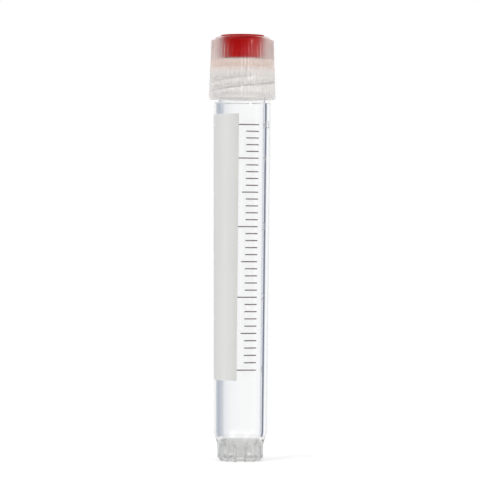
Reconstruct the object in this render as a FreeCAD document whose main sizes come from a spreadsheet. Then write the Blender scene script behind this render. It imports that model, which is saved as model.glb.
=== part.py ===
import FreeCAD, Part
import math
import os

import Sketcher

# A 5 ml cryovial: a clear screw-top tube that stands on a star foot, its ribbed cap, the washer under the
# cap's web, and the red colour plug in the cap's socket. Millimetres, +Z up, with the origin at the middle of
# the foot's underside and the writing side towards -Y.
# Each piece is a body modelled up from its own lowest point, then set at its place in the closed vial.

# Driving sizes. A height in a piece is measured from that piece's own lowest point.
SIZES = {
    # outside of the tube
    "rim_height": 84.7,
    "rim_round": 0.12,
    "neck_radius": 5.25,
    "shoulder_height": 77.2,
    "shoulder_radius": 6.15,
    "shoulder_round": 0.25,
    "heel_height": 6.0,
    "heel_radius": 5.72,
    "heel_round": 4.0,
    "foot_height": 3.6,
    "foot_radius": 4.97,
    "foot_bevel": 0.8,
    # inside of the tube
    "mouth_radius": 4.75,
    "bore_radius": 4.42,
    "bore_floor": 2.2,
    # hollow of the foot: its round roof, and the ribs that make it a star, one turned this far from the front
    "hollow_radius": 4.45,
    "hollow_depth": 4.8,
    "roof_height": 1.2,
    "roof_radius": 4.6,
    "roof_edge": 4.55,
    "roof_back": 5.4,
    "rib_count": 12,
    "rib_turn": 15,
    "rib_tip": 3.4,
    "rib_half_width": 0.43,
    # two-start thread between neck and cap
    "thread_starts": 2,
    "thread_lead": 4.0,
    "thread_root": 1.0,
    "thread_crest": 0.5,
    "thread_bite": 0.05,
    "neck_thread_height": 79.0,
    "neck_thread_radius": 5.8,
    "neck_thread_turns": 1.1,
    "cap_thread_height": 2.0,
    "cap_thread_radius": 5.42,
    "cap_thread_turns": 0.8,
    # outside of the cap
    "cap_seat": 78.0,
    "skirt_radius": 7.2,
    "skirt_height": 6.85,
    "skirt_top_radius": 6.98,
    "band_radius": 6.93,
    "band_height": 12.7,
    "band_top_radius": 6.78,
    "collar_foot_radius": 6.0,
    "collar_radius": 5.95,
    "collar_height": 13.4,
    "collar_round": 0.65,
    "cap_edge_round": 0.12,
    # grooves that leave the cap's grip ribs standing, one of them turned this far from the front
    "groove_count": 54,
    "groove_turn": 0,
    "groove_start": 0.7,
    "groove_end": 11.9,
    "groove_depth": 0.09,
    "groove_half_width": 0.25,
    "groove_overrun": 0.1,
    # inside of the cap, and the socket on top
    "cap_inside_radius": 6.1,
    "cap_inside_height": 7.73,
    "cap_lead_in": 0.3,
    "socket_radius": 4.35,
    "socket_floor": 8.7,
    "socket_round": 0.45,
    # washer
    "washer_radius": 5.95,
    "washer_hole_radius": 3.6,
    "washer_thickness": 1.0,
    "washer_round": 0.15,
    # plug
    "plug_radius": 4.3,
    "plug_round": 0.4,
    "plug_head_height": 4.7,
    "plug_head_radius": 4.7,
    "plug_head_edge": 5.1,
    "plug_top": 5.3,
    "plug_head_round": 0.1,
}

doc = FreeCAD.newDocument("cryovial")
sheet = doc.addObject("Spreadsheet::Sheet", "sizes")
for row, (name, value) in enumerate(SIZES.items(), start=1):
    sheet.set(f"A{row}", name)
    sheet.set(f"B{row}", str(value))
    sheet.setAlias(f"B{row}", name)
doc.recompute()


def worked_out(expression):
    """The value of an expression on the sheet's sizes, such as "rim_height - cap_seat"."""
    return float(sheet.evalExpression(expression))


def on_sheet(expression):
    """The same expression as another object has to write it, with the sheet named before each size."""
    return " ".join(f"sizes.{word}" if word in SIZES else word for word in expression.split())


def new_body(label, height="0"):
    """A body whose lowest point is set at this height."""
    body = doc.addObject("PartDesign::Body", label)
    body.Label = label
    body.setExpression("Placement.Base.z", on_sheet(height))
    return body


def origin_part(body, role):
    """One of the body's own origin planes or axes."""
    return next(part for part in body.Origin.OriginFeatures if part.Role == role)


def new_sketch(body, name, plane="XZ_Plane", lift="0"):
    """A sketch on one of the body's origin planes, lifted off it by a distance."""
    sketch = body.newObject("Sketcher::SketchObject", name)
    sketch.AttachmentSupport = [(origin_part(body, plane), "")]
    sketch.MapMode = "FlatFace"
    sketch.setExpression("AttachmentOffset.Base.z", on_sheet(lift))
    return sketch


def hold(sketch, direction, side, expression):
    """Hold the start of a side at a distance from the sketch's origin that the sheet gives."""
    if expression == "0":
        across = -2 if direction == "DistanceX" else -1
        sketch.addConstraint(Sketcher.Constraint("PointOnObject", side, 1, across))
        return
    value = worked_out(expression)
    index = sketch.addConstraint(Sketcher.Constraint(direction, -1, 1, side, 1, value))
    sketch.setExpression(f"Constraints[{index}]", on_sheet(expression))


def arc_about_axis(start, end):
    """The arc from start round to end whose centre is on the sketch's upright axis."""
    height = (start.Length ** 2 - end.Length ** 2) / (2 * (start.y - end.y))
    centre = FreeCAD.Vector(0, height, 0)
    first, last = (math.atan2(p.y - height, p.x) for p in (start, end))
    circle = Part.Circle(centre, FreeCAD.Vector(0, 0, 1), (start - centre).Length)
    return Part.ArcOfCircle(circle, first, last)


def closed_outline(sketch, corners, arcs=()):
    """A closed outline through corners, each given as two expressions on the sheet.

    Its sides are straight, apart from those numbered in arcs, whose centres are on the upright axis.
    """
    places = [FreeCAD.Vector(worked_out(x), worked_out(y), 0) for x, y in corners]
    count = len(places)
    for side, (start, end) in enumerate(zip(places, places[1:] + places[:1])):
        curve = arc_about_axis(start, end) if side in arcs else Part.LineSegment(start, end)
        sketch.addGeometry(curve, False)
    for side in range(count):
        sketch.addConstraint(Sketcher.Constraint("Coincident", side, 2, (side + 1) % count, 1))
    for side in arcs:
        sketch.addConstraint(Sketcher.Constraint("PointOnObject", side, 3, -2))
    for side, (x, y) in enumerate(corners):
        hold(sketch, "DistanceX", side, x)
        hold(sketch, "DistanceY", side, y)


def turned(body, name, kind, corners, arcs=()):
    """An outline turned all the way round the body's Z axis. kind is Revolution or Groove."""
    sketch = new_sketch(body, f"{name}_outline")
    closed_outline(sketch, corners, arcs)
    feature = body.newObject(f"PartDesign::{kind}", name)
    feature.Profile = sketch
    feature.ReferenceAxis = (sketch, ["V_Axis"])
    feature.Angle = 360
    doc.recompute()
    return feature


def rounded(body, name, size, rings):
    """Round off the edges that are circles about Z at these (radius, height) expressions."""
    base = body.Tip
    wanted = [(worked_out(radius), worked_out(height)) for radius, height in rings]
    picked = []
    for number, edge in enumerate(base.Shape.Edges, start=1):
        if edge.Degenerated or not isinstance(edge.Curve, Part.Circle):
            continue
        radius, height = edge.Curve.Radius, edge.Curve.Center.z
        if any(abs(radius - r) < 1e-4 and abs(height - z) < 1e-4 for r, z in wanted):
            picked.append(f"Edge{number}")
    if len(picked) < len(rings):
        raise RuntimeError(f"{name}: {len(picked)} edges found for {len(rings)} rings")
    fillet = body.newObject("PartDesign::Fillet", name)
    fillet.Base = (base, picked)
    fillet.setExpression("Radius", on_sheet(size))
    doc.recompute()
    return fillet


def repeated(body, name, original, count):
    """A feature repeated evenly about the body's Z axis."""
    pattern = body.newObject("PartDesign::PolarPattern", name)
    pattern.Originals = [original]
    pattern.Axis = (origin_part(body, "Z_Axis"), [""])
    pattern.Angle = 360
    pattern.setExpression("Occurrences", on_sheet(count))
    body.Tip = pattern
    doc.recompute()
    return pattern


def thread(body, name, root_radius, crest_radius, height, turns):
    """A right-hand ridge wound up from height, with a section that narrows to its crest, for each start."""
    sketch = new_sketch(body, f"{name}_section")
    corners = [
        (root_radius, f"{height} - thread_root / 2"),
        (crest_radius, f"{height} - thread_crest / 2"),
        (crest_radius, f"{height} + thread_crest / 2"),
        (root_radius, f"{height} + thread_root / 2"),
    ]
    closed_outline(sketch, corners)
    ridge = body.newObject("PartDesign::AdditiveHelix", name)
    ridge.Profile = sketch
    ridge.ReferenceAxis = (sketch, ["V_Axis"])
    ridge.Mode = "pitch-turns-angle"
    ridge.setExpression("Pitch", on_sheet("thread_lead"))
    ridge.setExpression("Turns", on_sheet(turns))
    doc.recompute()
    return repeated(body, f"{name}_starts", ridge, "thread_starts")


def make_tube():
    """Barrel, neck and foot, with the roofed hollow of the foot, the bore and the thread."""
    body = new_body("tube")
    outside = [
        ("0", "0"),
        ("foot_radius", "0"),
        ("foot_radius", "foot_height"),
        ("heel_radius", "heel_height"),
        ("shoulder_radius", "shoulder_height"),
        ("neck_radius", "shoulder_height"),
        ("neck_radius", "rim_height"),
        ("0", "rim_height"),
    ]
    turned(body, "outside", "Revolution", outside)
    rounded(body, "heel", "heel_round", [("heel_radius", "heel_height")])
    rounded(body, "shoulder", "shoulder_round", [("shoulder_radius", "shoulder_height")])
    star_foot(body)
    bore_centre = "bore_floor + bore_radius"
    bore = [
        ("0", "bore_floor"),
        ("bore_radius", bore_centre),
        ("mouth_radius", "shoulder_height"),
        ("mouth_radius", "rim_height"),
        ("0", "rim_height"),
    ]
    turned(body, "bore", "Groove", bore, arcs=[0])
    rim = [("neck_radius", "rim_height"), ("mouth_radius", "rim_height")]
    rounded(body, "rim", "rim_round", rim)
    root = "neck_radius - thread_bite"
    thread(body, "neck_thread", root, "neck_thread_radius", "neck_thread_height", "neck_thread_turns")
    return body


def star_foot(body):
    """Hollow out the foot under a round roof, and stand wedge-shaped ribs round the hollow's wall."""
    hollow = [
        ("0", "0"),
        ("hollow_radius", "0"),
        ("hollow_radius", "hollow_depth"),
        ("0", "hollow_depth"),
    ]
    turned(body, "foot_hollow", "Groove", hollow)
    drop = "sqrt( roof_radius ^ 2 - roof_edge ^ 2 )"
    roof = [
        ("0", "roof_height"),
        ("roof_edge", f"roof_height + roof_radius - {drop}"),
        ("roof_edge", "roof_back"),
        ("0", "roof_back"),
    ]
    turned(body, "foot_roof", "Revolution", roof, arcs=[0])
    sketch = new_sketch(body, "rib_outline", "XY_Plane")
    sketch.setExpression("AttachmentOffset.Rotation.Angle", on_sheet("rib_turn - 90"))
    wedge = [
        ("rib_tip", "0"),
        ("roof_edge", "rib_half_width"),
        ("roof_edge", "0 - rib_half_width"),
    ]
    closed_outline(sketch, wedge)
    rib = body.newObject("PartDesign::Pad", "rib")
    rib.Profile = sketch
    rib.setExpression("Length", on_sheet("hollow_depth"))
    doc.recompute()
    repeated(body, "ribs", rib, "rib_count")
    bevel = [
        ("foot_radius - foot_bevel", "0"),
        ("foot_radius + foot_bevel", "0"),
        ("foot_radius + foot_bevel", "2 * foot_bevel"),
    ]
    turned(body, "foot_bevelled", "Groove", bevel)


def make_screw_cap():
    """Ribbed skirt, web and socket, with the thread inside the skirt."""
    body = new_body("screw_cap", "cap_seat")
    outside = [
        ("0", "0"),
        ("skirt_radius", "0"),
        ("skirt_top_radius", "skirt_height"),
        ("band_radius", "skirt_height"),
        ("band_top_radius", "band_height"),
        ("collar_foot_radius", "band_height"),
        ("collar_radius", "collar_height"),
        ("0", "collar_height"),
    ]
    turned(body, "outside", "Revolution", outside)
    rounded(body, "cap_edge", "cap_edge_round", [("band_top_radius", "band_height")])
    rounded(body, "collar_edge", "collar_round", [("collar_radius", "collar_height")])
    grip_grooves(body)
    inside = [
        ("0", "0"),
        ("cap_inside_radius + cap_lead_in", "0"),
        ("cap_inside_radius", "cap_lead_in"),
        ("cap_inside_radius", "cap_inside_height"),
        ("0", "cap_inside_height"),
    ]
    turned(body, "inside", "Groove", inside)
    socket = [
        ("0", "socket_floor"),
        ("socket_radius", "socket_floor"),
        ("socket_radius", "collar_height"),
        ("0", "collar_height"),
    ]
    turned(body, "socket", "Groove", socket)
    rounded(body, "socket_corner", "socket_round", [("socket_radius", "socket_floor")])
    root = "cap_inside_radius + thread_bite"
    thread(body, "cap_thread", root, "cap_thread_radius", "cap_thread_height", "cap_thread_turns")
    return body


def grip_grooves(body):
    """Cut the V-shaped grooves between the cap's grip ribs, following the slope of its side."""
    slope = "( skirt_radius - band_top_radius ) / band_height"
    opening = "groove_half_width * ( 1 + groove_overrun / groove_depth )"
    sections = []
    for end in ("groove_start", "groove_end"):
        surface = f"skirt_radius - {end} * {slope}"
        sketch = new_sketch(body, f"{end}_section", "XY_Plane", lift=end)
        sketch.setExpression("AttachmentOffset.Rotation.Angle", on_sheet("groove_turn - 90"))
        groove = [
            (f"{surface} - groove_depth", "0"),
            (f"{surface} + groove_overrun", f"0 - {opening}"),
            (f"{surface} + groove_overrun", opening),
        ]
        closed_outline(sketch, groove)
        sections.append(sketch)
    cut = body.newObject("PartDesign::SubtractiveLoft", "groove")
    cut.Profile = sections[0]
    cut.Sections = sections[1:]
    cut.Ruled = True
    doc.recompute()
    repeated(body, "grooves", cut, "groove_count")


def make_sealing_ring():
    """Flat washer on the tube's rim."""
    body = new_body("sealing_ring", "rim_height")
    section = [
        ("washer_hole_radius", "0"),
        ("washer_radius", "0"),
        ("washer_radius", "washer_thickness"),
        ("washer_hole_radius", "washer_thickness"),
    ]
    turned(body, "washer", "Revolution", section)
    rounded(body, "washer_edges", "washer_round", section)
    return body


def make_cap_insert():
    """Plug with a round lower corner, and a low domed head that rests on the cap's collar."""
    body = new_body("cap_insert", "cap_seat + collar_height - plug_head_height")
    outside = [
        ("0", "0"),
        ("plug_radius", "0"),
        ("plug_radius", "plug_head_height"),
        ("plug_head_radius", "plug_head_height"),
        ("plug_head_radius", "plug_head_edge"),
        ("0", "plug_top"),
    ]
    turned(body, "plug", "Revolution", outside, arcs=[4])
    rounded(body, "plug_corner", "plug_round", [("plug_radius", "0")])
    rounded(body, "head_edge", "plug_head_round", [("plug_head_radius", "plug_head_edge")])
    return body


pieces = [make_tube(), make_screw_cap(), make_sealing_ring(), make_cap_insert()]
doc.recompute()

for item in doc.Objects:
    if {"Invalid", "Error"} & set(item.State):
        raise RuntimeError(f"{item.Name} failed: {item.State}")
for piece in pieces:
    if piece.Shape.isNull() or not piece.Shape.isValid() or len(piece.Shape.Solids) != 1:
        raise RuntimeError(f"{piece.Label} isn't one valid solid")

os.makedirs("parts", exist_ok=True)
for piece in pieces:
    piece.Shape.exportStep(f"parts/{piece.Label}.step")
    print(f"{piece.Label}: {piece.Shape.Volume:.1f} mm3, {piece.Shape.BoundBox}")
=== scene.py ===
"""Looks of the closed cryovial: the clear tube with its printed scale and panel, the milky ribbed cap, the
washer and the red plug, on a plain pale floor in soft light.

Surfaces are worked out in millimetres, as radius, height and angle about the vial's axis, and become metres
when they are made a mesh. Angles run from the front (-Y) towards the right (+X).
"""

import math

import bmesh
import bpy
import numpy as np
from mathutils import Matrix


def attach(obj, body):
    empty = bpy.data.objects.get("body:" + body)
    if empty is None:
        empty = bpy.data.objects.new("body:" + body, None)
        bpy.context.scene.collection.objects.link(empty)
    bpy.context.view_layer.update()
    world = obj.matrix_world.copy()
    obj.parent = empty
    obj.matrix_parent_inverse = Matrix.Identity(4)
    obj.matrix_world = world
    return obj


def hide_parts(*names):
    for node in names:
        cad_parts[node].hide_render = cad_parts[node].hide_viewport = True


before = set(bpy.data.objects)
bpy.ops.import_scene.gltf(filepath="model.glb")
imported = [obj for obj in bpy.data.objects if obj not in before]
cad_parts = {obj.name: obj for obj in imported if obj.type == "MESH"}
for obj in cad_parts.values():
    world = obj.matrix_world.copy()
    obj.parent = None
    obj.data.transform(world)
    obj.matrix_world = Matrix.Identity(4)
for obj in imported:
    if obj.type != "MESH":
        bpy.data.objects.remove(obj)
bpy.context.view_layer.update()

MM = 0.001

# Faces that meet at more than this many degrees keep a sharp edge
CREASE = 35

# Tube, from the floor up
FOOT_RADIUS = 4.97
FOOT_BEVEL = 0.8
FOOT_HEIGHT = 3.6
HEEL_RADIUS = 5.72
HEEL_HEIGHT = 6.0
HEEL_ROUND = 4.0
SHOULDER_RADIUS = 6.15
SHOULDER_HEIGHT = 77.2
NECK_RADIUS = 5.25
RIM_HEIGHT = 84.7
RIM_ROUND = 0.12
MOUTH_RADIUS = 4.75
BORE_RADIUS = 4.42
BORE_FLOOR = 2.2
HAZE_HEIGHT = 4.7

# Hollow of the foot: a round roof inside a wall that wedge-shaped ribs turn into a star
ROOF_HEIGHT = 1.2
ROOF_RADIUS = 4.6
HOLLOW_RADIUS = 4.45
RIB_COUNT = 12
RIB_TURN = 15
RIB_TIP = 3.4
RIB_BASE = 4.55
RIB_HALF_WIDTH = 0.43

# Two-start thread of the neck and the cap: its crest and root are widths, and its ends fade over some degrees
THREAD_LEAD = 4.0
THREAD_STARTS = 2
THREAD_ROOT = 1.0
THREAD_CREST = 0.5
THREAD_FADE = 14
THREAD_ROW = 0.08
NECK_THREAD_HEIGHT = 79.0
NECK_THREAD_RADIUS = 5.8
NECK_THREAD_TURNS = 1.1
CAP_THREAD_HEIGHT = 2.0
CAP_THREAD_RADIUS = 5.42
CAP_THREAD_TURNS = 0.8

# Cap, with heights above its own lower edge
CAP_SEAT = 78.0
CAP_INSIDE_RADIUS = 6.1
CAP_INSIDE_HEIGHT = 7.73
CAP_LEAD_IN = 0.3
SKIRT_RADIUS = 7.2
SKIRT_TOP_RADIUS = 6.98
SKIRT_HEIGHT = 6.85
BAND_RADIUS = 6.93
BAND_TOP_RADIUS = 6.78
BAND_HEIGHT = 12.7
COLLAR_FOOT_RADIUS = 6.0
COLLAR_RADIUS = 5.95
COLLAR_HEIGHT = 13.4
COLLAR_ROUND = 0.65
SOCKET_RADIUS = 4.35
SOCKET_FLOOR = 8.7

# Ribs of the cap and the grooves between them; a groove's half width is a share of a rib's pitch
CAP_RIBS = 54
GROOVE_DEPTH = 0.09
GROOVE_HALF_WIDTH = 0.32
GROOVE_START = 0.7
GROOVE_END = 11.9
GROOVE_RUNOUT = 0.25

# Washer and plug, with the plug's heights above its seat
WASHER_RADIUS = 5.95
WASHER_HOLE = 3.6
WASHER_THICKNESS = 1.0
WASHER_ROUND = 0.15
PLUG_SEAT = 86.7
PLUG_RADIUS = 4.3
PLUG_ROUND = 0.4
PLUG_HEAD_RADIUS = 4.7
PLUG_HEAD_HEIGHT = 4.7
PLUG_HEAD_EDGE = 5.1
PLUG_DOME_RISE = 0.2
PLUG_DOME_START = 4.0

# Print: angles from the front, heights above the floor, and its lean in degrees for each mm of height
PANEL_RIGHT = -7.5
PANEL_LEFT = -102.5
PANEL_FOOT = 17.5
PANEL_TOP = 74.7
TICK_RIGHT = 35.0
TICK_LEFT = {"long": -7.5, "middle": 0.0, "short": 7.8}
TICK_WIDTH = 0.24
FIRST_TENTH = 10
LAST_TENTH = 45
FIGURES = {1: "1", 2: "2", 3: "3", 4: "4", 4.5: "4.5"}
FIGURE_START = 47.0
FIGURE_SIZE = 2.2
PRINT_SKEW = 1.1 / 27
INK_LIFT = 0.02
INK_ROOT = 0.005

# Studio, in metres and watts: each lamp has its place, its size and its power
FLOOR_RADIUS = 0.085
FLOOR_GREY = 0.86
FLOOR_GLOW = 0.27
AIM_HEIGHT = 0.046
LAMPS = {
    "key": ((-0.5, -0.55, 0.75), 0.5, 2.9),
    "fill": ((0.6, -0.5, 0.45), 0.5, 1.35),
    "strip": ((0.30, -0.45, 0.155), 0.06, 0.15),
}
CAMERA_PLACE = (-0.0003, -0.6046, 0.04762)
CAMERA_ROLL = -0.33


# ---------------------------------------------------------------- paths and surfaces


def rounded(corners, steps=5):
    """A path through (radius, height, round) corners.

    A corner with a round above 0 becomes an arc that touches both of its sides.
    """
    path = []
    for i, (radius, height, size) in enumerate(corners):
        corner = np.array([radius, height], float)
        if size <= 0 or i in (0, len(corners) - 1):
            path.append(corner[None])
            continue
        before = np.array(corners[i - 1][:2], float) - corner
        after = np.array(corners[i + 1][:2], float) - corner
        before /= np.linalg.norm(before)
        after /= np.linalg.norm(after)
        half = math.acos(np.clip(before @ after, -1, 1)) / 2
        middle = before + after
        centre = corner + middle / np.linalg.norm(middle) * size / math.sin(half)
        reach = size / math.tan(half)
        start = corner + before * reach - centre
        end = corner + after * reach - centre
        swing = math.pi - 2 * half
        part = np.linspace(0, 1, steps + 1)[:, None]
        arc = (np.sin((1 - part) * swing) * start + np.sin(part * swing) * end) / math.sin(swing)
        path.append(centre + arc)
    return np.concatenate(path)


def divided(path, longest):
    """The same path with points added evenly, so that no side is longer than this."""
    pieces = []
    for start, end in zip(path[:-1], path[1:]):
        count = max(1, math.ceil(np.linalg.norm(end - start) / longest))
        part = np.arange(count)[:, None] / count
        pieces.append(start + (end - start) * part)
    return np.concatenate(pieces + [path[-1:]])


def about_axis(radius, height, angle):
    """Points in millimetres from radius and height arrays and angles in degrees, broadcast together."""
    radius, height, angle = np.broadcast_arrays(radius, height, np.radians(angle))
    return np.stack([radius * np.sin(angle), -radius * np.cos(angle), height], axis=-1)


def grid_faces(index, columns_close=True, rows_close=False):
    """Quads between neighbouring rows and columns of a grid of vertex numbers."""
    columns = np.concatenate([index, index[:, :1]], axis=1) if columns_close else index
    grid = np.concatenate([columns, columns[:1]]) if rows_close else columns
    quads = [grid[:-1, :-1], grid[:-1, 1:], grid[1:, 1:], grid[1:, :-1]]
    return np.stack(quads, axis=-1).reshape(-1, 4)


def make_piece(name, points, faces, body, materials, kinds=None):
    """A mesh object from points in millimetres and faces that are turned outwards as a whole.

    kinds gives each face's place in the list of materials.
    """
    points = np.asarray(points, float).reshape(-1, 3) * MM
    first, second, third = (points[faces[:, k]] for k in (0, 1, 2))
    fourth = points[faces[:, 3]]
    volume = np.einsum("ij,ij->i", first, np.cross(second, third)).sum()
    volume += np.einsum("ij,ij->i", first, np.cross(third, fourth)).sum()
    if volume < 0:
        faces = faces[:, ::-1]
    corners = [tuple(dict.fromkeys(face)) for face in faces.tolist()]
    whole = np.array([len(face) > 2 for face in corners])
    mesh = bpy.data.meshes.new(name)
    mesh.from_pydata(points.tolist(), [], [face for face in corners if len(face) > 2])
    if kinds is not None:
        mesh.polygons.foreach_set("material_index", kinds[whole].astype(np.int32))
    mesh.polygons.foreach_set("use_smooth", np.ones(len(mesh.polygons), bool))
    mesh.set_sharp_from_angle(angle=math.radians(CREASE))
    for material in materials:
        mesh.materials.append(material)
    piece = bpy.data.objects.new(name, mesh)
    bpy.context.scene.collection.objects.link(piece)
    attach(piece, body)
    return piece


def turned_grid(points, poles=True):
    """Vertex numbers for a grid of points, whose first and last rows are one point each when it has poles."""
    rows, columns = points.shape[:2]
    index = np.arange(rows * columns).reshape(rows, columns)
    if poles:
        index[0] = index[0, 0]
        index[-1] = index[-1, 0]
    return index


def used_only(points, faces):
    """Points and faces without the points that no face uses."""
    kept, renumbered = np.unique(faces, return_inverse=True)
    return points.reshape(-1, 3)[kept], renumbered.reshape(faces.shape)


def ridge(angle, height, start_height, turns):
    """How far a thread stands at each angle and height, from 0 at its root to 1 on its crest.

    Its middle climbs THREAD_LEAD a turn, its sides slope evenly from root to crest, and it fades out at both
    ends. Angles here count from +X towards +Y, as the thread is cut.
    """
    stand = np.zeros(np.broadcast(angle, height).shape)
    half_root, half_crest = THREAD_ROOT / 2, THREAD_CREST / 2
    for start in range(THREAD_STARTS):
        around = (angle - 360 * start / THREAD_STARTS) % 360
        for lap in range(math.ceil(turns)):
            wound = around + 360 * lap
            off = np.abs(height - start_height - THREAD_LEAD * wound / 360)
            side = np.clip((half_root - off) / (half_root - half_crest), 0, 1)
            ends = np.clip(np.minimum(wound, 360 * turns - wound) / THREAD_FADE, 0, 1)
            stand = np.maximum(stand, side * ends)
    return stand


# ---------------------------------------------------------------- tube


def star_angles():
    """Angles round the tube that meet every edge of the star's ribs, in degrees from the front."""
    slope = (RIB_BASE - RIB_TIP) / RIB_HALF_WIDTH
    a, b, c = slope ** 2 + 1, 2 * RIB_TIP * slope, RIB_TIP ** 2 - HOLLOW_RADIUS ** 2
    side = (-b + math.sqrt(b ** 2 - 4 * a * c)) / (2 * a)
    corner = math.degrees(math.atan2(side, RIB_TIP + side * slope))
    pitch = 360 / RIB_COUNT
    rib = np.linspace(-corner, corner, 13)
    gap = np.linspace(corner, pitch - corner, 13)[1:-1]
    one = np.concatenate([rib, gap])
    return (one[None] + pitch * np.arange(RIB_COUNT)[:, None] + RIB_TURN).ravel()


def star_wall(angle):
    """Radius of the foot's hollow at each angle: a circle, cut short by the straight flanks of the ribs."""
    pitch = 360 / RIB_COUNT
    off = np.radians(np.abs((angle - RIB_TURN + pitch / 2) % pitch - pitch / 2))
    slope = (RIB_BASE - RIB_TIP) / RIB_HALF_WIDTH
    flank = RIB_TIP / np.maximum(np.cos(off) - slope * np.sin(off), 1e-6)
    return np.where((flank > 0) & (flank < HOLLOW_RADIUS), flank, HOLLOW_RADIUS)


def roof(radius):
    """Height of the round roof of the foot's hollow, which hangs lowest in the middle."""
    return ROOF_HEIGHT + ROOF_RADIUS - np.sqrt(ROOF_RADIUS ** 2 - radius ** 2)


def make_tube(clear, frosted, soft):
    """The tube as one skin: hollow of the foot, underside, outside, thread, rim, and down the bore.

    Each stretch is radius and height as functions of the angle and of the way along it.
    """
    angle = star_angles()[None]
    wall = star_wall(angle)
    flat = FOOT_RADIUS - FOOT_BEVEL
    edge = np.maximum(wall, flat)
    under = edge - flat

    wall_rows, under_rows, bevel_rows = 6, 3, 4

    def between(start, end, rows):
        part = np.linspace(0, 1, rows, endpoint=False)[:, None]
        return tuple(a + (b - a) * part for a, b in zip(start, end))

    share = np.sin(np.radians(np.linspace(0, 90, 33)))[:-1, None]
    stretches = [(wall * share, roof(wall * share))]
    stretches.append(between((wall, roof(wall)), (wall, under), wall_rows))
    stretches.append(between((wall, under), (edge, under), under_rows))
    stretches.append(between((edge, under), (FOOT_RADIUS, FOOT_BEVEL), bevel_rows))

    outside = rounded([
        (FOOT_RADIUS, FOOT_BEVEL, 0),
        (FOOT_RADIUS, FOOT_HEIGHT, 0.35),
        (HEEL_RADIUS, HEEL_HEIGHT, HEEL_ROUND),
        (SHOULDER_RADIUS, SHOULDER_HEIGHT, 0.25),
        (NECK_RADIUS, SHOULDER_HEIGHT, 0),
    ], steps=10)
    outside = divided(outside, 2.0)[:, :, None]
    stretches.append((outside[:, 0], outside[:, 1]))

    neck_end = RIM_HEIGHT - RIM_ROUND - 0.01
    height = np.arange(SHOULDER_HEIGHT + THREAD_ROW, neck_end, THREAD_ROW)[:, None]
    stand = ridge(angle - 90, height, NECK_THREAD_HEIGHT, NECK_THREAD_TURNS)
    stretches.append((NECK_RADIUS + (NECK_THREAD_RADIUS - NECK_RADIUS) * stand, height))

    inside = rounded([
        (NECK_RADIUS, neck_end, 0),
        (NECK_RADIUS, RIM_HEIGHT, RIM_ROUND),
        (MOUTH_RADIUS, RIM_HEIGHT, RIM_ROUND),
        (MOUTH_RADIUS, SHOULDER_HEIGHT, 0),
        (BORE_RADIUS, BORE_FLOOR + BORE_RADIUS, 0),
    ])
    inside = divided(inside, 2.0)[:, :, None]
    stretches.append((inside[:, 0], inside[:, 1]))

    turn = np.radians(np.linspace(0, 90, 33))[1:, None]
    bowl = BORE_FLOOR + BORE_RADIUS
    stretches.append((BORE_RADIUS * np.cos(turn), bowl - BORE_RADIUS * np.sin(turn)))

    points = np.concatenate([about_axis(r, z, angle) for r, z in stretches])
    materials = [clear, frosted, soft]
    roof_rows = len(share)
    skirt_rows = wall_rows + under_rows + bevel_rows + np.count_nonzero(outside[:, 1] < HAZE_HEIGHT)
    bowl_rows = np.count_nonzero(bowl - BORE_RADIUS * np.sin(turn) < HAZE_HEIGHT)
    finish = np.zeros(len(points) - 1, int)
    finish[:roof_rows] = materials.index(frosted)
    finish[roof_rows:roof_rows + skirt_rows] = materials.index(soft)
    finish[-bowl_rows:] = materials.index(frosted)
    kinds = np.repeat(finish, angle.size)
    index = turned_grid(points)
    points, faces = used_only(points, grid_faces(index))
    piece = make_piece("clear_tube", points, faces, "vial", materials, kinds)
    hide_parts("tube")
    return piece


# ---------------------------------------------------------------- cap, washer and plug


def rib_angles():
    """Angles round the cap: eight to a rib, set close together where the groove turns."""
    half = GROOVE_HALF_WIDTH
    across = np.array([-0.5, -half, -0.22, -0.11, 0, 0.11, 0.22, half])
    return ((across[None] + np.arange(CAP_RIBS)[:, None]) * 360 / CAP_RIBS).ravel()


def groove(angle, height):
    """How deep the cap's side is cut: rounded grooves between the ribs, running out at both ends."""
    off = np.abs((angle * CAP_RIBS / 360 + 0.5) % 1 - 0.5)
    across = np.clip(1 - off / GROOVE_HALF_WIDTH, 0, 1)
    shape = across * across * (3 - 2 * across)
    ends = np.clip(np.minimum(height - GROOVE_START, GROOVE_END - height) / GROOVE_RUNOUT, 0, 1)
    return GROOVE_DEPTH * shape * ends


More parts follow.
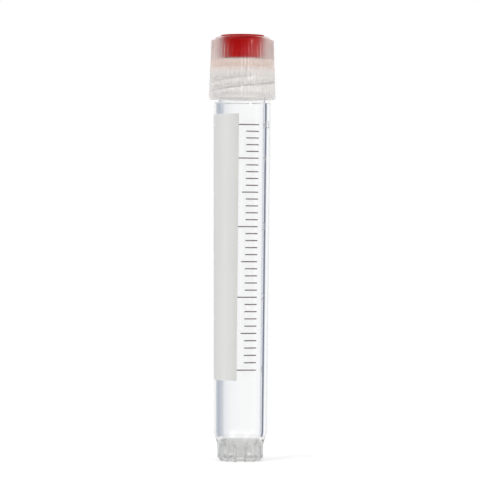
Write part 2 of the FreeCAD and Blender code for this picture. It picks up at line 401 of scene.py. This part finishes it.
def make_cap(milky, hazy, plug_glow_painted, dull, edge, collar_glow_painted, warm):
    """The cap as one skin, from the middle of its web down the thread, up the ribs and into the socket.

    Each row of faces has one finish, apart from the thread, whose underside has its own: near black, as
    painted shade. The rows round the plug are painted pink, as a painted glow of its red.
    """
    angle = rib_angles()[None]
    inside, thread_top, thread_foot = CAP_INSIDE_RADIUS, 7.0, 1.2
    web = rounded([(0, CAP_INSIDE_HEIGHT, 0), (inside, CAP_INSIDE_HEIGHT, 0.15), (inside, thread_top, 0)])
    web = divided(web, 0.8)
    bore_height = np.arange(thread_top - 0.05, thread_foot, -THREAD_ROW)[:, None]
    stand = ridge(angle - 90, bore_height, CAP_THREAD_HEIGHT, CAP_THREAD_TURNS)
    mouth = rounded([
        (inside, thread_foot, 0),
        (inside, CAP_LEAD_IN, 0),
        (inside + CAP_LEAD_IN, 0, 0.1),
        (SKIRT_RADIUS, 0, 0.12),
        (SKIRT_RADIUS - 0.005, 0.15, 0),
    ])
    lower = np.array([0.2, GROOVE_START, GROOVE_START + GROOVE_RUNOUT, 2.7, 4.2, 5.7, SKIRT_HEIGHT])[:, None]
    upper = np.array([SKIRT_HEIGHT + 0.02, 8.5, 10, GROOVE_END - GROOVE_RUNOUT, GROOVE_END, 12.4])[:, None]
    top = rounded([
        (BAND_TOP_RADIUS + 0.007, BAND_HEIGHT - 0.25, 0),
        (BAND_TOP_RADIUS, BAND_HEIGHT, 0.12),
        (COLLAR_FOOT_RADIUS, BAND_HEIGHT, 0),
        (COLLAR_RADIUS, COLLAR_HEIGHT, COLLAR_ROUND),
        (SOCKET_RADIUS, COLLAR_HEIGHT, 0.08),
        (SOCKET_RADIUS, SOCKET_FLOOR, 0.1),
        (0, SOCKET_FLOOR, 0),
    ])
    top = divided(top, 0.8)
    lower_radius = SKIRT_RADIUS - (SKIRT_RADIUS - SKIRT_TOP_RADIUS) * lower / SKIRT_HEIGHT
    climb = (upper - SKIRT_HEIGHT) / (BAND_HEIGHT - SKIRT_HEIGHT)
    upper_radius = BAND_RADIUS - (BAND_RADIUS - BAND_TOP_RADIUS) * climb
    stretches = [
        (web[:, :1], web[:, 1:]),
        (inside - (inside - CAP_THREAD_RADIUS) * stand, bore_height),
        (mouth[:, :1], mouth[:, 1:]),
        (lower_radius - groove(angle, lower), lower),
        (upper_radius - groove(angle, upper), upper),
        (top[:, :1], top[:, 1:]),
    ]
    points = np.concatenate([about_axis(r, z + CAP_SEAT, angle) for r, z in stretches])
    lip_rows = np.count_nonzero(mouth[:, 0] < SKIRT_RADIUS - 0.2)
    collar_rows = np.count_nonzero(top[:, 0] > SOCKET_RADIUS + 0.01)
    # The pink finishes round the plug carry its painted red glow
    finishes = [
        (hazy, len(web) + len(stand)),
        (dull, lip_rows),
        (milky, len(mouth) - lip_rows + len(lower)),
        (warm, 1),
        (plug_glow_painted, len(upper) - 1),
        (collar_glow_painted, collar_rows),
        (dull, len(top) - 1 - collar_rows),
    ]
    # edge is the finish that holds the thread's painted shade
    materials = [milky, hazy, plug_glow_painted, dull, edge, collar_glow_painted, warm]
    finish = np.concatenate([np.full(rows, materials.index(material)) for material, rows in finishes])
    kinds = np.repeat(finish[:, None], angle.size, axis=1)
    # Faces on the thread's underside, which get the painted shade
    thread_shade_faces = stand[:-1] - stand[1:] > 0.02
    kinds[len(web):len(web) + len(thread_shade_faces)][thread_shade_faces] = materials.index(edge)
    kinds = kinds.ravel()
    index = turned_grid(points)
    points, faces = used_only(points, grid_faces(index))
    piece = make_piece("ribbed_cap", points, faces, "cap", materials, kinds)
    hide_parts("screw_cap")
    return piece


def make_washer(material):
    """A flat ring with rounded edges: a closed section carried round the axis."""
    low, high = RIM_HEIGHT, RIM_HEIGHT + WASHER_THICKNESS
    middle = (WASHER_HOLE + WASHER_RADIUS) / 2
    section = rounded([
        (middle, low, 0),
        (WASHER_RADIUS, low, WASHER_ROUND),
        (WASHER_RADIUS, high, WASHER_ROUND),
        (WASHER_HOLE, high, WASHER_ROUND),
        (WASHER_HOLE, low, WASHER_ROUND),
        (middle, low, 0),
    ])[:-1]
    angle = np.arange(0, 360, 3)[None]
    points = about_axis(section[:, :1], section[:, 1:], angle)
    faces = grid_faces(turned_grid(points, poles=False), rows_close=True)
    piece = make_piece("washer", points, faces, "seal", [material])
    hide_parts("sealing_ring")
    return piece


def make_plug(shiny, dull):
    """The colour plug turned as one skin: flat underside, round corner, body, and low domed head."""
    rise = PLUG_DOME_RISE
    dome_radius = (PLUG_HEAD_RADIUS ** 2 + rise ** 2) / (2 * rise)
    side = rounded([
        (0, 0, 0),
        (PLUG_RADIUS, 0, PLUG_ROUND),
        (PLUG_RADIUS, PLUG_HEAD_HEIGHT, 0),
        (PLUG_HEAD_RADIUS, PLUG_HEAD_HEIGHT, 0.06),
        (PLUG_HEAD_RADIUS, PLUG_HEAD_EDGE, 0.1),
        (PLUG_DOME_START, PLUG_HEAD_EDGE + 0.055, 0),
    ], steps=8)
    side = divided(side, 0.6)
    dome = np.linspace(PLUG_DOME_START - 0.1, 0, 16)
    dome_height = PLUG_HEAD_EDGE + rise - dome_radius + np.sqrt(dome_radius ** 2 - dome ** 2)
    radius = np.concatenate([side[:, 0], dome])[:, None]
    height = np.concatenate([side[:, 1], dome_height])[:, None] + PLUG_SEAT
    angle = np.arange(0, 360, 3)[None]
    points = about_axis(radius, height, angle)
    kinds = np.repeat(height[1:, 0] < PLUG_SEAT + PLUG_HEAD_HEIGHT, angle.size)
    index = turned_grid(points)
    points, faces = used_only(points, grid_faces(index))
    piece = make_piece("colour_plug", points, faces, "cap", [shiny, dull], kinds)
    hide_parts("cap_insert")
    return piece


# ---------------------------------------------------------------- print


def barrel(height):
    """Outer radius of the tapered barrel at a height."""
    share = (height - HEEL_HEIGHT) / (SHOULDER_HEIGHT - HEEL_HEIGHT)
    return HEEL_RADIUS + (SHOULDER_RADIUS - HEEL_RADIUS) * share


def skewed(height):
    """How many degrees the print leans over from the barrel's own direction at a height."""
    return PRINT_SKEW * (height - (PANEL_FOOT + PANEL_TOP) / 2)


def ink_patch(left, right, low, high, columns, rows):
    """A thin closed slab of ink bent round the barrel, between two angles and two heights."""
    height = np.linspace(low, high, rows + 1)[:, None]
    angle = np.linspace(left, right, columns + 1)[None] + skewed(height)
    outer = about_axis(barrel(height) + INK_LIFT, height, angle)
    inner = about_axis(barrel(height) - INK_ROOT, height, angle)
    ring = np.concatenate([outer, inner[:, ::-1]], axis=1)
    index = np.arange(ring.shape[0] * ring.shape[1]).reshape(ring.shape[:2])
    count = columns + 1
    ends = [np.stack([row[:count], row[:count - 1:-1]]) for row in (index[0], index[-1])]
    faces = np.concatenate([
        grid_faces(index),
        grid_faces(ends[0][::-1], columns_close=False),
        grid_faces(ends[1], columns_close=False),
    ])
    return ring.reshape(-1, 3), faces


def joined(parts):
    """Several (points, faces) pairs as one."""
    starts = np.cumsum([0] + [len(points) for points, _ in parts[:-1]])
    faces = [f + start for (_, f), start in zip(parts, starts)]
    return np.concatenate([points for points, _ in parts]), np.concatenate(faces)


def mark_height(volume):
    """Height in mm of the liquid's surface for a volume in ml, from the bowl and the taper of the bore."""
    taper = (MOUTH_RADIUS - BORE_RADIUS) / (SHOULDER_HEIGHT - BORE_FLOOR - BORE_RADIUS)
    bowl = 2 / 3 * math.pi * BORE_RADIUS ** 3
    radius = (BORE_RADIUS ** 3 + 3 * taper * (volume * 1000 - bowl) / math.pi) ** (1 / 3)
    return BORE_FLOOR + BORE_RADIUS + (radius - BORE_RADIUS) / taper


def figure(text, volume):
    """One printed figure as (points, faces): type with a little thickness, bent round the barrel.

    The flat type is cut into narrow upright strips first, so that it bends smoothly.
    """
    curve = bpy.data.curves.new(text, "FONT")
    curve.body = text
    curve.size = FIGURE_SIZE
    curve.align_y = "CENTER"
    curve.extrude = 1
    holder = bpy.data.objects.new(text, curve)
    bpy.context.scene.collection.objects.link(holder)
    flat = bpy.data.meshes.new_from_object(holder)
    bpy.data.objects.remove(holder)
    shape = bmesh.new()
    shape.from_mesh(flat)
    bmesh.ops.remove_doubles(shape, verts=shape.verts, dist=0.001)
    widest, strip = 4.0, 0.2
    for cut in np.arange(strip / 2, widest, strip):
        parts = [*shape.verts, *shape.edges, *shape.faces]
        bmesh.ops.bisect_plane(shape, geom=parts, plane_co=(cut, 0, 0), plane_no=(1, 0, 0))
    bmesh.ops.triangulate(shape, faces=shape.faces)
    place = np.array([vertex.co for vertex in shape.verts])
    shape.verts.index_update()
    faces = np.array([[vertex.index for vertex in face.verts] for face in shape.faces])
    shape.free()
    height = mark_height(volume) + place[:, 1]
    radius = barrel(height) + np.where(place[:, 2] > 0, INK_LIFT, -INK_ROOT)
    angle = FIGURE_START + np.degrees(place[:, 0] / SHOULDER_RADIUS) + skewed(height)
    return about_axis(radius, height, angle), np.concatenate([faces, faces[:, 2:]], axis=1)


def make_scale(material):
    """The printed marks: long at each ml and at the top, middling at each half, short at each tenth."""
    parts = []
    for tenth in range(FIRST_TENTH, LAST_TENTH + 1):
        whole = tenth % 10 == 0 or tenth == LAST_TENTH
        kind = "long" if whole else "middle" if tenth % 5 == 0 else "short"
        height = mark_height(tenth / 10)
        half = TICK_WIDTH / 2
        parts.append(ink_patch(TICK_LEFT[kind], TICK_RIGHT, height - half, height + half, 12, 1))
    points, faces = joined(parts)
    return make_piece("scale_marks", points, faces, "vial", [material])


def make_figures(material):
    """The plain figures beside the long marks."""
    points, faces = joined([figure(text, volume) for volume, text in FIGURES.items()])
    return make_piece("scale_figures", points, faces, "vial", [material])


def make_panel(face, back):
    """The white panel for writing on, with its own ink for the face and for the back. The back's ink is
    painted whiter than the face's, as painted light on the side the lamps hardly reach.
    """
    columns = rows = 60
    points, faces = ink_patch(PANEL_LEFT, PANEL_RIGHT, PANEL_FOOT, PANEL_TOP, columns, rows)
    outer = np.arange(2 * columns + 2) < columns
    kinds = np.concatenate([np.tile(~outer, rows), np.zeros(2 * columns)])
    return make_piece("writing_panel", points, faces, "vial", [face, back], kinds)


# ---------------------------------------------------------------- materials


def new_material(name):
    """A material with only its output node, and the node tree that it stands in."""
    material = bpy.data.materials.new(name)
    material.use_nodes = True
    tree = material.node_tree
    tree.nodes.clear()
    return material, tree, tree.nodes.new("ShaderNodeOutputMaterial")


def add(tree, kind, **values):
    """A node with its inputs, or its own settings, set by name."""
    node = tree.nodes.new(kind)
    for name, value in values.items():
        socket = name.replace("_", " ")
        if socket in node.inputs:
            node.inputs[socket].default_value = value
        else:
            setattr(node, name, value)
    return node


def principled(tree, output, **values):
    """The material's own Principled BSDF, joined to its output."""
    shader = tree.nodes.new("ShaderNodeBsdfPrincipled")
    for name, value in values.items():
        shader.inputs[name.replace("_", " ")].default_value = value
    tree.links.new(shader.outputs["BSDF"], output.inputs["Surface"])
    return shader


def moulded_group():
    """Node group: the faint waves and grain of a moulded plastic skin, as a height and a 0 to 1 mottle."""
    group = bpy.data.node_groups.new("moulded skin", "ShaderNodeTree")
    group.interface.new_socket("Wave Size", in_out="INPUT", socket_type="NodeSocketFloat")
    group.interface.new_socket("Grain", in_out="INPUT", socket_type="NodeSocketFloat")
    group.interface.new_socket("Height", in_out="OUTPUT", socket_type="NodeSocketFloat")
    group.interface.new_socket("Mottle", in_out="OUTPUT", socket_type="NodeSocketFloat")
    inside = group.nodes.new("NodeGroupInput")
    outside = group.nodes.new("NodeGroupOutput")
    place = group.nodes.new("ShaderNodeTexCoord")
    stretch = add(group, "ShaderNodeMapping")
    stretch.inputs["Scale"].default_value = (1, 1, 0.12)
    waves = add(group, "ShaderNodeTexNoise", Detail=2.0)
    grain = add(group, "ShaderNodeTexNoise", Scale=4200.0, Detail=2.0)
    weigh = add(group, "ShaderNodeMath", operation="MULTIPLY")
    total = add(group, "ShaderNodeMath", operation="ADD")
    join = group.links.new
    join(place.outputs["Object"], stretch.inputs["Vector"])
    join(stretch.outputs["Vector"], waves.inputs["Vector"])
    join(inside.outputs["Wave Size"], waves.inputs["Scale"])
    join(place.outputs["Object"], grain.inputs["Vector"])
    join(grain.outputs["Fac"], weigh.inputs[0])
    join(inside.outputs["Grain"], weigh.inputs[1])
    join(waves.outputs["Fac"], total.inputs[0])
    join(weigh.outputs["Value"], total.inputs[1])
    join(total.outputs["Value"], outside.inputs["Height"])
    join(waves.outputs["Fac"], outside.inputs["Mottle"])
    return group


def skin(tree, group, shader, wave_size, grain, depth, colours):
    """The moulded skin in one material: its bump on Normal, and its mottle between two base colours.

    The socket that puts out the mottled colour is returned.
    """
    surface = tree.nodes.new("ShaderNodeGroup")
    surface.node_tree = group
    surface.inputs["Wave Size"].default_value = wave_size
    surface.inputs["Grain"].default_value = grain
    bump = add(tree, "ShaderNodeBump", Strength=1.0, Distance=depth * MM)
    ramp = tree.nodes.new("ShaderNodeValToRGB")
    ramp.color_ramp.elements[0].position = 0.3
    ramp.color_ramp.elements[1].position = 0.7
    ramp.color_ramp.elements[0].color = (*colours[0], 1)
    ramp.color_ramp.elements[1].color = (*colours[1], 1)
    tree.links.new(surface.outputs["Height"], bump.inputs["Height"])
    tree.links.new(bump.outputs["Normal"], shader.inputs["Normal"])
    tree.links.new(surface.outputs["Mottle"], ramp.inputs["Fac"])
    tree.links.new(ramp.outputs["Color"], shader.inputs["Base Color"])
    return ramp.outputs["Color"]


def graded(tree, shader, pale, deep, axis, low, high):
    """The base colour goes from the pale one to the deep one between two places in mm along an axis."""
    place = tree.nodes.new("ShaderNodeTexCoord")
    apart = tree.nodes.new("ShaderNodeSeparateXYZ")
    share = add(tree, "ShaderNodeMapRange", From_Min=low * MM, From_Max=high * MM)
    tree.links.new(place.outputs["Object"], apart.inputs["Vector"])
    tree.links.new(apart.outputs[axis], share.inputs["Value"])
    tree.links.new(mixed(tree, share.outputs["Result"], pale, deep), shader.inputs["Base Color"])


def clear_plastic(group):
    """Clear polypropylene: refracts, with a trace of blue and faint waves in its skin."""
    material, tree, output = new_material("clear plastic")
    shader = principled(tree, output, Roughness=0.03, IOR=1.49, Transmission_Weight=1.0)
    skin(tree, group, shader, 260.0, 0.05, 0.004, [(0.99, 0.993, 0.996), (0.995, 0.997, 0.998)])
    return material


def frosted_plastic(group):
    """The same plastic where the mould left it dull, in the hollow of the foot and under the bore."""
    material, tree, output = new_material("frosted plastic")
    shader = principled(tree, output, Roughness=0.6, IOR=1.49, Transmission_Weight=0.8)
    skin(tree, group, shader, 260.0, 0.4, 0.006, [(0.94, 0.94, 0.93), (0.97, 0.97, 0.96)])
    return material


def soft_plastic(group):
    """The same plastic on the foot's skirt and ribs, a little dull from handling."""
    material, tree, output = new_material("soft plastic")
    shader = principled(tree, output, Roughness=0.08, IOR=1.49, Transmission_Weight=0.85)
    skin(tree, group, shader, 260.0, 0.4, 0.006, [(0.96, 0.96, 0.955), (0.98, 0.98, 0.975)])
    return material


def milky_plastic(group):
    """Milky polypropylene: clear enough to see through, with a warm haze, and a painted pink glow of the red
    plug towards the top of the skirt.
    """
    material, tree, output = new_material("milky plastic")
    shader = principled(
        tree, output, Roughness=0.2, IOR=1.2, Transmission_Weight=0.55, Coat_Weight=0.4, Coat_Roughness=0.05
    )
    pale = skin(tree, group, shader, 300.0, 0.2, 0.004, [(0.97, 0.94, 0.92), (0.99, 0.96, 0.94)])
    # Painted glow: pinker towards the top of the skirt, standing in for the plug's red light scattered in the
    # plastic
    graded(tree, shader, pale, (0.97, 0.85, 0.80), "Z", 83.4, 84.9)
    return material


def plug_glow_painted_plastic(group):
    """The cap's plastic round the plug, painted pink with the glow of the plug's red light in it, most of all
    near the top.
    """
    material, tree, output = new_material("blushed plastic")
    shader = principled(
        tree, output, Roughness=0.36, IOR=1.49, Transmission_Weight=1.0, Coat_Weight=1.0, Coat_Roughness=0.05
    )
    shader.inputs["Specular Tint"].default_value = (1.0, 0.05, 0.05, 1)
    pale = skin(tree, group, shader, 300.0, 0.2, 0.004, [(0.98, 0.83, 0.76), (1.0, 0.85, 0.78)])
    # Painted glow: deeper pink towards the top, nearer the plug's head
    graded(tree, shader, pale, (0.85, 0.58, 0.53), "Z", 86.8, 91.2)
    return material


def web_glow_painted_plastic(group):
    """The cap's plastic round the web and the washer, milky, and painted pink with the glow of the red plug
    just above.
    """
    material, tree, output = new_material("warm plastic")
    shader = principled(
        tree, output, Roughness=0.3, IOR=1.49, Transmission_Weight=0.6, Coat_Weight=1.0, Coat_Roughness=0.05
    )
    # Painted glow: the pink base colour stands in for the plug's red light scattered in the plastic
    skin(tree, group, shader, 300.0, 0.2, 0.004, [(0.98, 0.80, 0.72), (1.0, 0.82, 0.74)])
    return material


def collar_glow_painted_plastic(group):
    """The cap's plastic in the collar, painted a deeper pink with the glow of the plug's red head."""
    material, tree, output = new_material("rosy plastic")
    shader = principled(tree, output, Roughness=0.3, IOR=1.49, Transmission_Weight=1.0)
    shader.inputs["Specular Tint"].default_value = (1.0, 0.05, 0.05, 1)
    # Painted glow: the pink base colour stands in for the red head's light in the plastic
    skin(tree, group, shader, 300.0, 0.2, 0.004, [(0.90, 0.68, 0.64), (0.93, 0.71, 0.67)])
    return material


def hazy_plastic(group):
    """The cap's plastic inside, where the thread and the web are dull from the mould."""
    material, tree, output = new_material("hazy plastic")
    shader = principled(tree, output, Roughness=0.35, IOR=1.15, Transmission_Weight=0.3)
    skin(tree, group, shader, 300.0, 0.3, 0.006, [(0.97, 0.955, 0.94), (0.98, 0.965, 0.95)])
    return material


def dull_plastic(group):
    """The cap's plastic in the socket, which stays clear only where the plug lies against it."""
    material, tree, output = new_material("dull plastic")
    shader = principled(tree, output, Roughness=0.2, IOR=1.4, Transmission_Weight=1.0)
    shader.inputs["Specular Tint"].default_value = (0.9, 0.15, 0.15, 1)
    skin(tree, group, shader, 300.0, 0.3, 0.006, [(0.95, 0.93, 0.91), (0.97, 0.95, 0.93)])
    return material


def painted_shade_plastic(group):
    """The cap's plastic on the underside of its thread, painted near black: painted shade along the thread's
    underside.
    """
    material, tree, output = new_material("painted shade plastic")
    shader = principled(tree, output, Roughness=0.3, IOR=1.49)
    skin(tree, group, shader, 300.0, 0.3, 0.006, [(0.07, 0.07, 0.07), (0.08, 0.08, 0.08)])
    return material


def red_plastic(group, name, red, roughness, gloss):
    """Opaque red polypropylene: glossy on the plug's head, and not where it lies against the socket. Its red
    is given apart for the two, darker on the head as painted shade.
    """
    material, tree, output = new_material(name)
    shader = principled(tree, output, Roughness=roughness, IOR=1.49, Specular_IOR_Level=gloss)
    shader.inputs["Specular Tint"].default_value = (1.0, 0.3, 0.3, 1)
    skin(tree, group, shader, 350.0, 0.5, 0.006, [(red, 0.0, 0.002), (red + 0.03, 0.001, 0.003)])
    return material


def washer_rubber(group):
    """Dull silicone rubber, olive beige."""
    material, tree, output = new_material("washer rubber")
    shader = principled(tree, output, Roughness=0.55, IOR=1.43)
    skin(tree, group, shader, 400.0, 0.8, 0.01, [(0.82, 0.77, 0.66), (0.88, 0.83, 0.72)])
    return material


def panel_ink(group, name, thinness, colours):
    """White ink with a fine tooth that takes a pen, translucent, with painted shade that greys it towards its
    right edge.
    """
    material, tree, output = new_material(name)
    shader = principled(tree, output, Roughness=0.6, IOR=1.5, Transmission_Weight=thinness)
    pale = skin(tree, group, shader, 180.0, 1.5, 0.004, colours)
    # Painted shade: greyer towards the panel's right edge, where the light through the ink falls off
    graded(tree, shader, pale, (0.78, 0.78, 0.75), "X", -3.6, -0.8)
    return material


def scale_ink(group, name, colours):
    """Matt printing ink, a little thin in places."""
    material, tree, output = new_material(name)
    shader = principled(tree, output, Roughness=0.5, IOR=1.5)
    skin(tree, group, shader, 900.0, 1.0, 0.003, colours)
    return material


# ---------------------------------------------------------------- floor, light and camera


def make_floor():
    """A round pale floor that shows white where the light falls on it and keeps the vial's shadow.

    Clear plastic shows the backdrop in its place, so that the floor's far edge doesn't cross the tube.
    """
    material, tree, output = new_material("pale floor")
    diffuse = add(tree, "ShaderNodeBsdfDiffuse", Color=(FLOOR_GREY, FLOOR_GREY, FLOOR_GREY, 1))
    glow = tree.nodes.new("ShaderNodeEmission")
    path = tree.nodes.new("ShaderNodeLightPath")
    seen = add(tree, "ShaderNodeMath", operation="MULTIPLY")
    seen.inputs[1].default_value = FLOOR_GLOW
    total = tree.nodes.new("ShaderNodeAddShader")
    through = tree.nodes.new("ShaderNodeBsdfTransparent")
    shown = tree.nodes.new("ShaderNodeMixShader")
    join = tree.links.new
    join(path.outputs["Is Camera Ray"], seen.inputs[0])
    join(seen.outputs["Value"], glow.inputs["Strength"])
    join(diffuse.outputs["BSDF"], total.inputs[0])
    join(glow.outputs["Emission"], total.inputs[1])
    join(path.outputs["Is Transmission Ray"], shown.inputs["Fac"])
    join(total.outputs["Shader"], shown.inputs[1])
    join(through.outputs["BSDF"], shown.inputs[2])
    join(shown.outputs["Shader"], output.inputs["Surface"])
    angle = np.radians(np.arange(0, 360, 5))
    rim = np.stack([np.sin(angle), np.cos(angle), 0 * angle], axis=-1) * FLOOR_RADIUS
    mesh = bpy.data.meshes.new("floor")
    mesh.from_pydata(rim.tolist(), [], [list(range(len(rim)))[::-1]])
    mesh.materials.append(material)
    floor = bpy.data.objects.new("floor", mesh)
    bpy.context.scene.collection.objects.link(floor)


def surroundings(tree, turn, stops):
    """Colours set round the horizon: stops are (degrees from the back towards the right, colour)."""
    share = add(tree, "ShaderNodeMapRange", From_Min=-math.pi, From_Max=math.pi)
    ring = tree.nodes.new("ShaderNodeValToRGB")
    first, last = ring.color_ramp.elements
    first.position, last.position = 0, 1
    first.color, last.color = ((*colour, 1) for _, colour in (stops[0], stops[-1]))
    for degrees, colour in stops[1:-1]:
        ring.color_ramp.elements.new((degrees + 180) / 360).color = (*colour, 1)
    tree.links.new(turn.outputs["Value"], share.inputs["Value"])
    tree.links.new(share.outputs["Result"], ring.inputs["Fac"])
    return ring.outputs["Color"]


def mixed(tree, factor, first, second):
    """A colour that goes from first to second as the factor goes from 0 to 1."""
    mix = add(tree, "ShaderNodeMix", data_type="RGBA")
    ends = {socket.name: socket for socket in mix.inputs if socket.type == "RGBA"}
    for name, colour in (("A", first), ("B", second)):
        if isinstance(colour, tuple):
            ends[name].default_value = (*colour, 1)
        else:
            tree.links.new(colour, ends[name])
    tree.links.new(factor, mix.inputs["Factor"])
    return next(socket for socket in mix.outputs if socket.type == "RGBA")


def make_world():
    """A white backdrop all round, as seen by the camera and through clear plastic.

    Seen through clear plastic, low dark stands at the sides give its walls their dark edges. They reach only
    a little above and below the horizon. Gloss shows a dim room in front, and dull faces a plain grey one.
    """
    world = bpy.data.worlds.new("studio")
    world.use_nodes = True
    tree = world.node_tree
    tree.nodes.clear()
    output = tree.nodes.new("ShaderNodeOutputWorld")
    back = tree.nodes.new("ShaderNodeBackground")
    path = tree.nodes.new("ShaderNodeLightPath")
    place = tree.nodes.new("ShaderNodeTexCoord")
    apart = tree.nodes.new("ShaderNodeSeparateXYZ")
    turn = add(tree, "ShaderNodeMath", operation="ARCTAN2")
    rise = add(tree, "ShaderNodeMath", operation="ABSOLUTE")
    above = add(tree, "ShaderNodeMapRange", From_Min=0.15, From_Max=0.25)
    join = tree.links.new
    join(place.outputs["Generated"], apart.inputs["Vector"])
    join(apart.outputs["X"], turn.inputs[0])
    join(apart.outputs["Y"], turn.inputs[1])
    join(apart.outputs["Z"], rise.inputs[0])
    join(rise.outputs["Value"], above.inputs["Value"])
    white, dusk, dark = (1, 1, 1), (0.85, 0.85, 0.85), (0.08, 0.09, 0.16)
    through = surroundings(tree, turn, [
        (-180, dusk), (-125, dusk), (-98, white), (-82, white), (-78, (0.35, 0.36, 0.40)),
        (-60, (0.45, 0.50, 0.56)), (-40, (0.40, 0.44, 0.51)), (-26, (0.48, 0.51, 0.56)),
        (-13, (0.76, 0.78, 0.81)), (-4, (0.96, 0.97, 0.98)), (0, white), (22, white),
        (31, (0.78, 0.80, 0.84)), (37, dark), (48, dark), (53, (0.75, 0.78, 0.85)), (75, white),
        (105, white), (130, dusk), (180, dusk),
    ])
    dim = (0.03, 0.03, 0.03)
    gloss = surroundings(tree, turn, [
        (-180, dim), (-130, dim), (-95, white), (95, white), (130, dim), (180, dim),
    ])
    low = mixed(tree, above.outputs["Result"], through, white)
    colour = mixed(tree, path.outputs["Is Glossy Ray"], white, gloss)
    colour = mixed(tree, path.outputs["Is Transmission Ray"], colour, low)
    colour = mixed(tree, path.outputs["Is Diffuse Ray"], colour, (0.72, 0.72, 0.72))
    join(colour, back.inputs["Color"])
    join(back.outputs["Background"], output.inputs["Surface"])
    bpy.context.scene.world = world


def make_lamp(name, place, size, power):
    """A square soft lamp that faces the middle of the vial."""
    light = bpy.data.lights.new(name, "AREA")
    light.shape = "SQUARE"
    light.size = size
    light.energy = power
    lamp = bpy.data.objects.new(name, light)
    bpy.context.scene.collection.objects.link(lamp)
    lamp.location = place
    aim = np.array([0, 0, AIM_HEIGHT]) - np.array(place)
    yaw = math.atan2(-aim[0], aim[1])
    tilt = math.atan2(np.hypot(aim[0], aim[1]), -aim[2])
    lamp.rotation_euler = (tilt, 0, yaw)


def make_camera():
    """A long lens level with the vial's middle, set a hair to the left and rolled a third of a degree."""
    camera = bpy.data.cameras.new("camera")
    camera.lens = 210
    camera.sensor_width = 36
    camera.clip_start = 0.01
    holder = bpy.data.objects.new("camera", camera)
    bpy.context.scene.collection.objects.link(holder)
    holder.location = CAMERA_PLACE
    holder.rotation_euler = (math.pi / 2, math.radians(CAMERA_ROLL), 0)
    bpy.context.scene.camera = holder


def main():
    group = moulded_group()
    make_tube(clear_plastic(group), frosted_plastic(group), soft_plastic(group))
    make_cap(
        milky_plastic(group), hazy_plastic(group), plug_glow_painted_plastic(group), dull_plastic(group),
        painted_shade_plastic(group), collar_glow_painted_plastic(group), web_glow_painted_plastic(group),
    )
    make_washer(washer_rubber(group))
    make_plug(
        # The head's red is darker than the body's: painted shade that holds back the lamps' light on the head
        red_plastic(group, "red plastic", 0.41, 0.35, 0.04),
        red_plastic(group, "seated red plastic", 0.54, 0.6, 0.0),
    )
    make_panel(
        panel_ink(group, "panel ink", 0.35, [(0.93, 0.93, 0.92), (0.96, 0.96, 0.95)]),
        # The back's whiter ink is painted light
        panel_ink(group, "panel ink back painted lighter", 0.8, [(0.98, 0.98, 0.975), (1.0, 1.0, 0.995)]),
    )
    make_scale(scale_ink(group, "brown ink", [(0.10, 0.07, 0.07), (0.20, 0.16, 0.15)]))
    make_figures(scale_ink(group, "grey ink", [(0.42, 0.41, 0.41), (0.52, 0.51, 0.51)]))
    make_floor()
    make_world()
    for name, (place, size, power) in LAMPS.items():
        make_lamp(name, place, size, power)
    make_camera()
    scene = bpy.context.scene
    scene.view_settings.view_transform = "Standard"
    scene.cycles.max_bounces = 40
    scene.cycles.diffuse_bounces = 8
    scene.cycles.glossy_bounces = 24
    scene.cycles.transmission_bounces = 32


main()
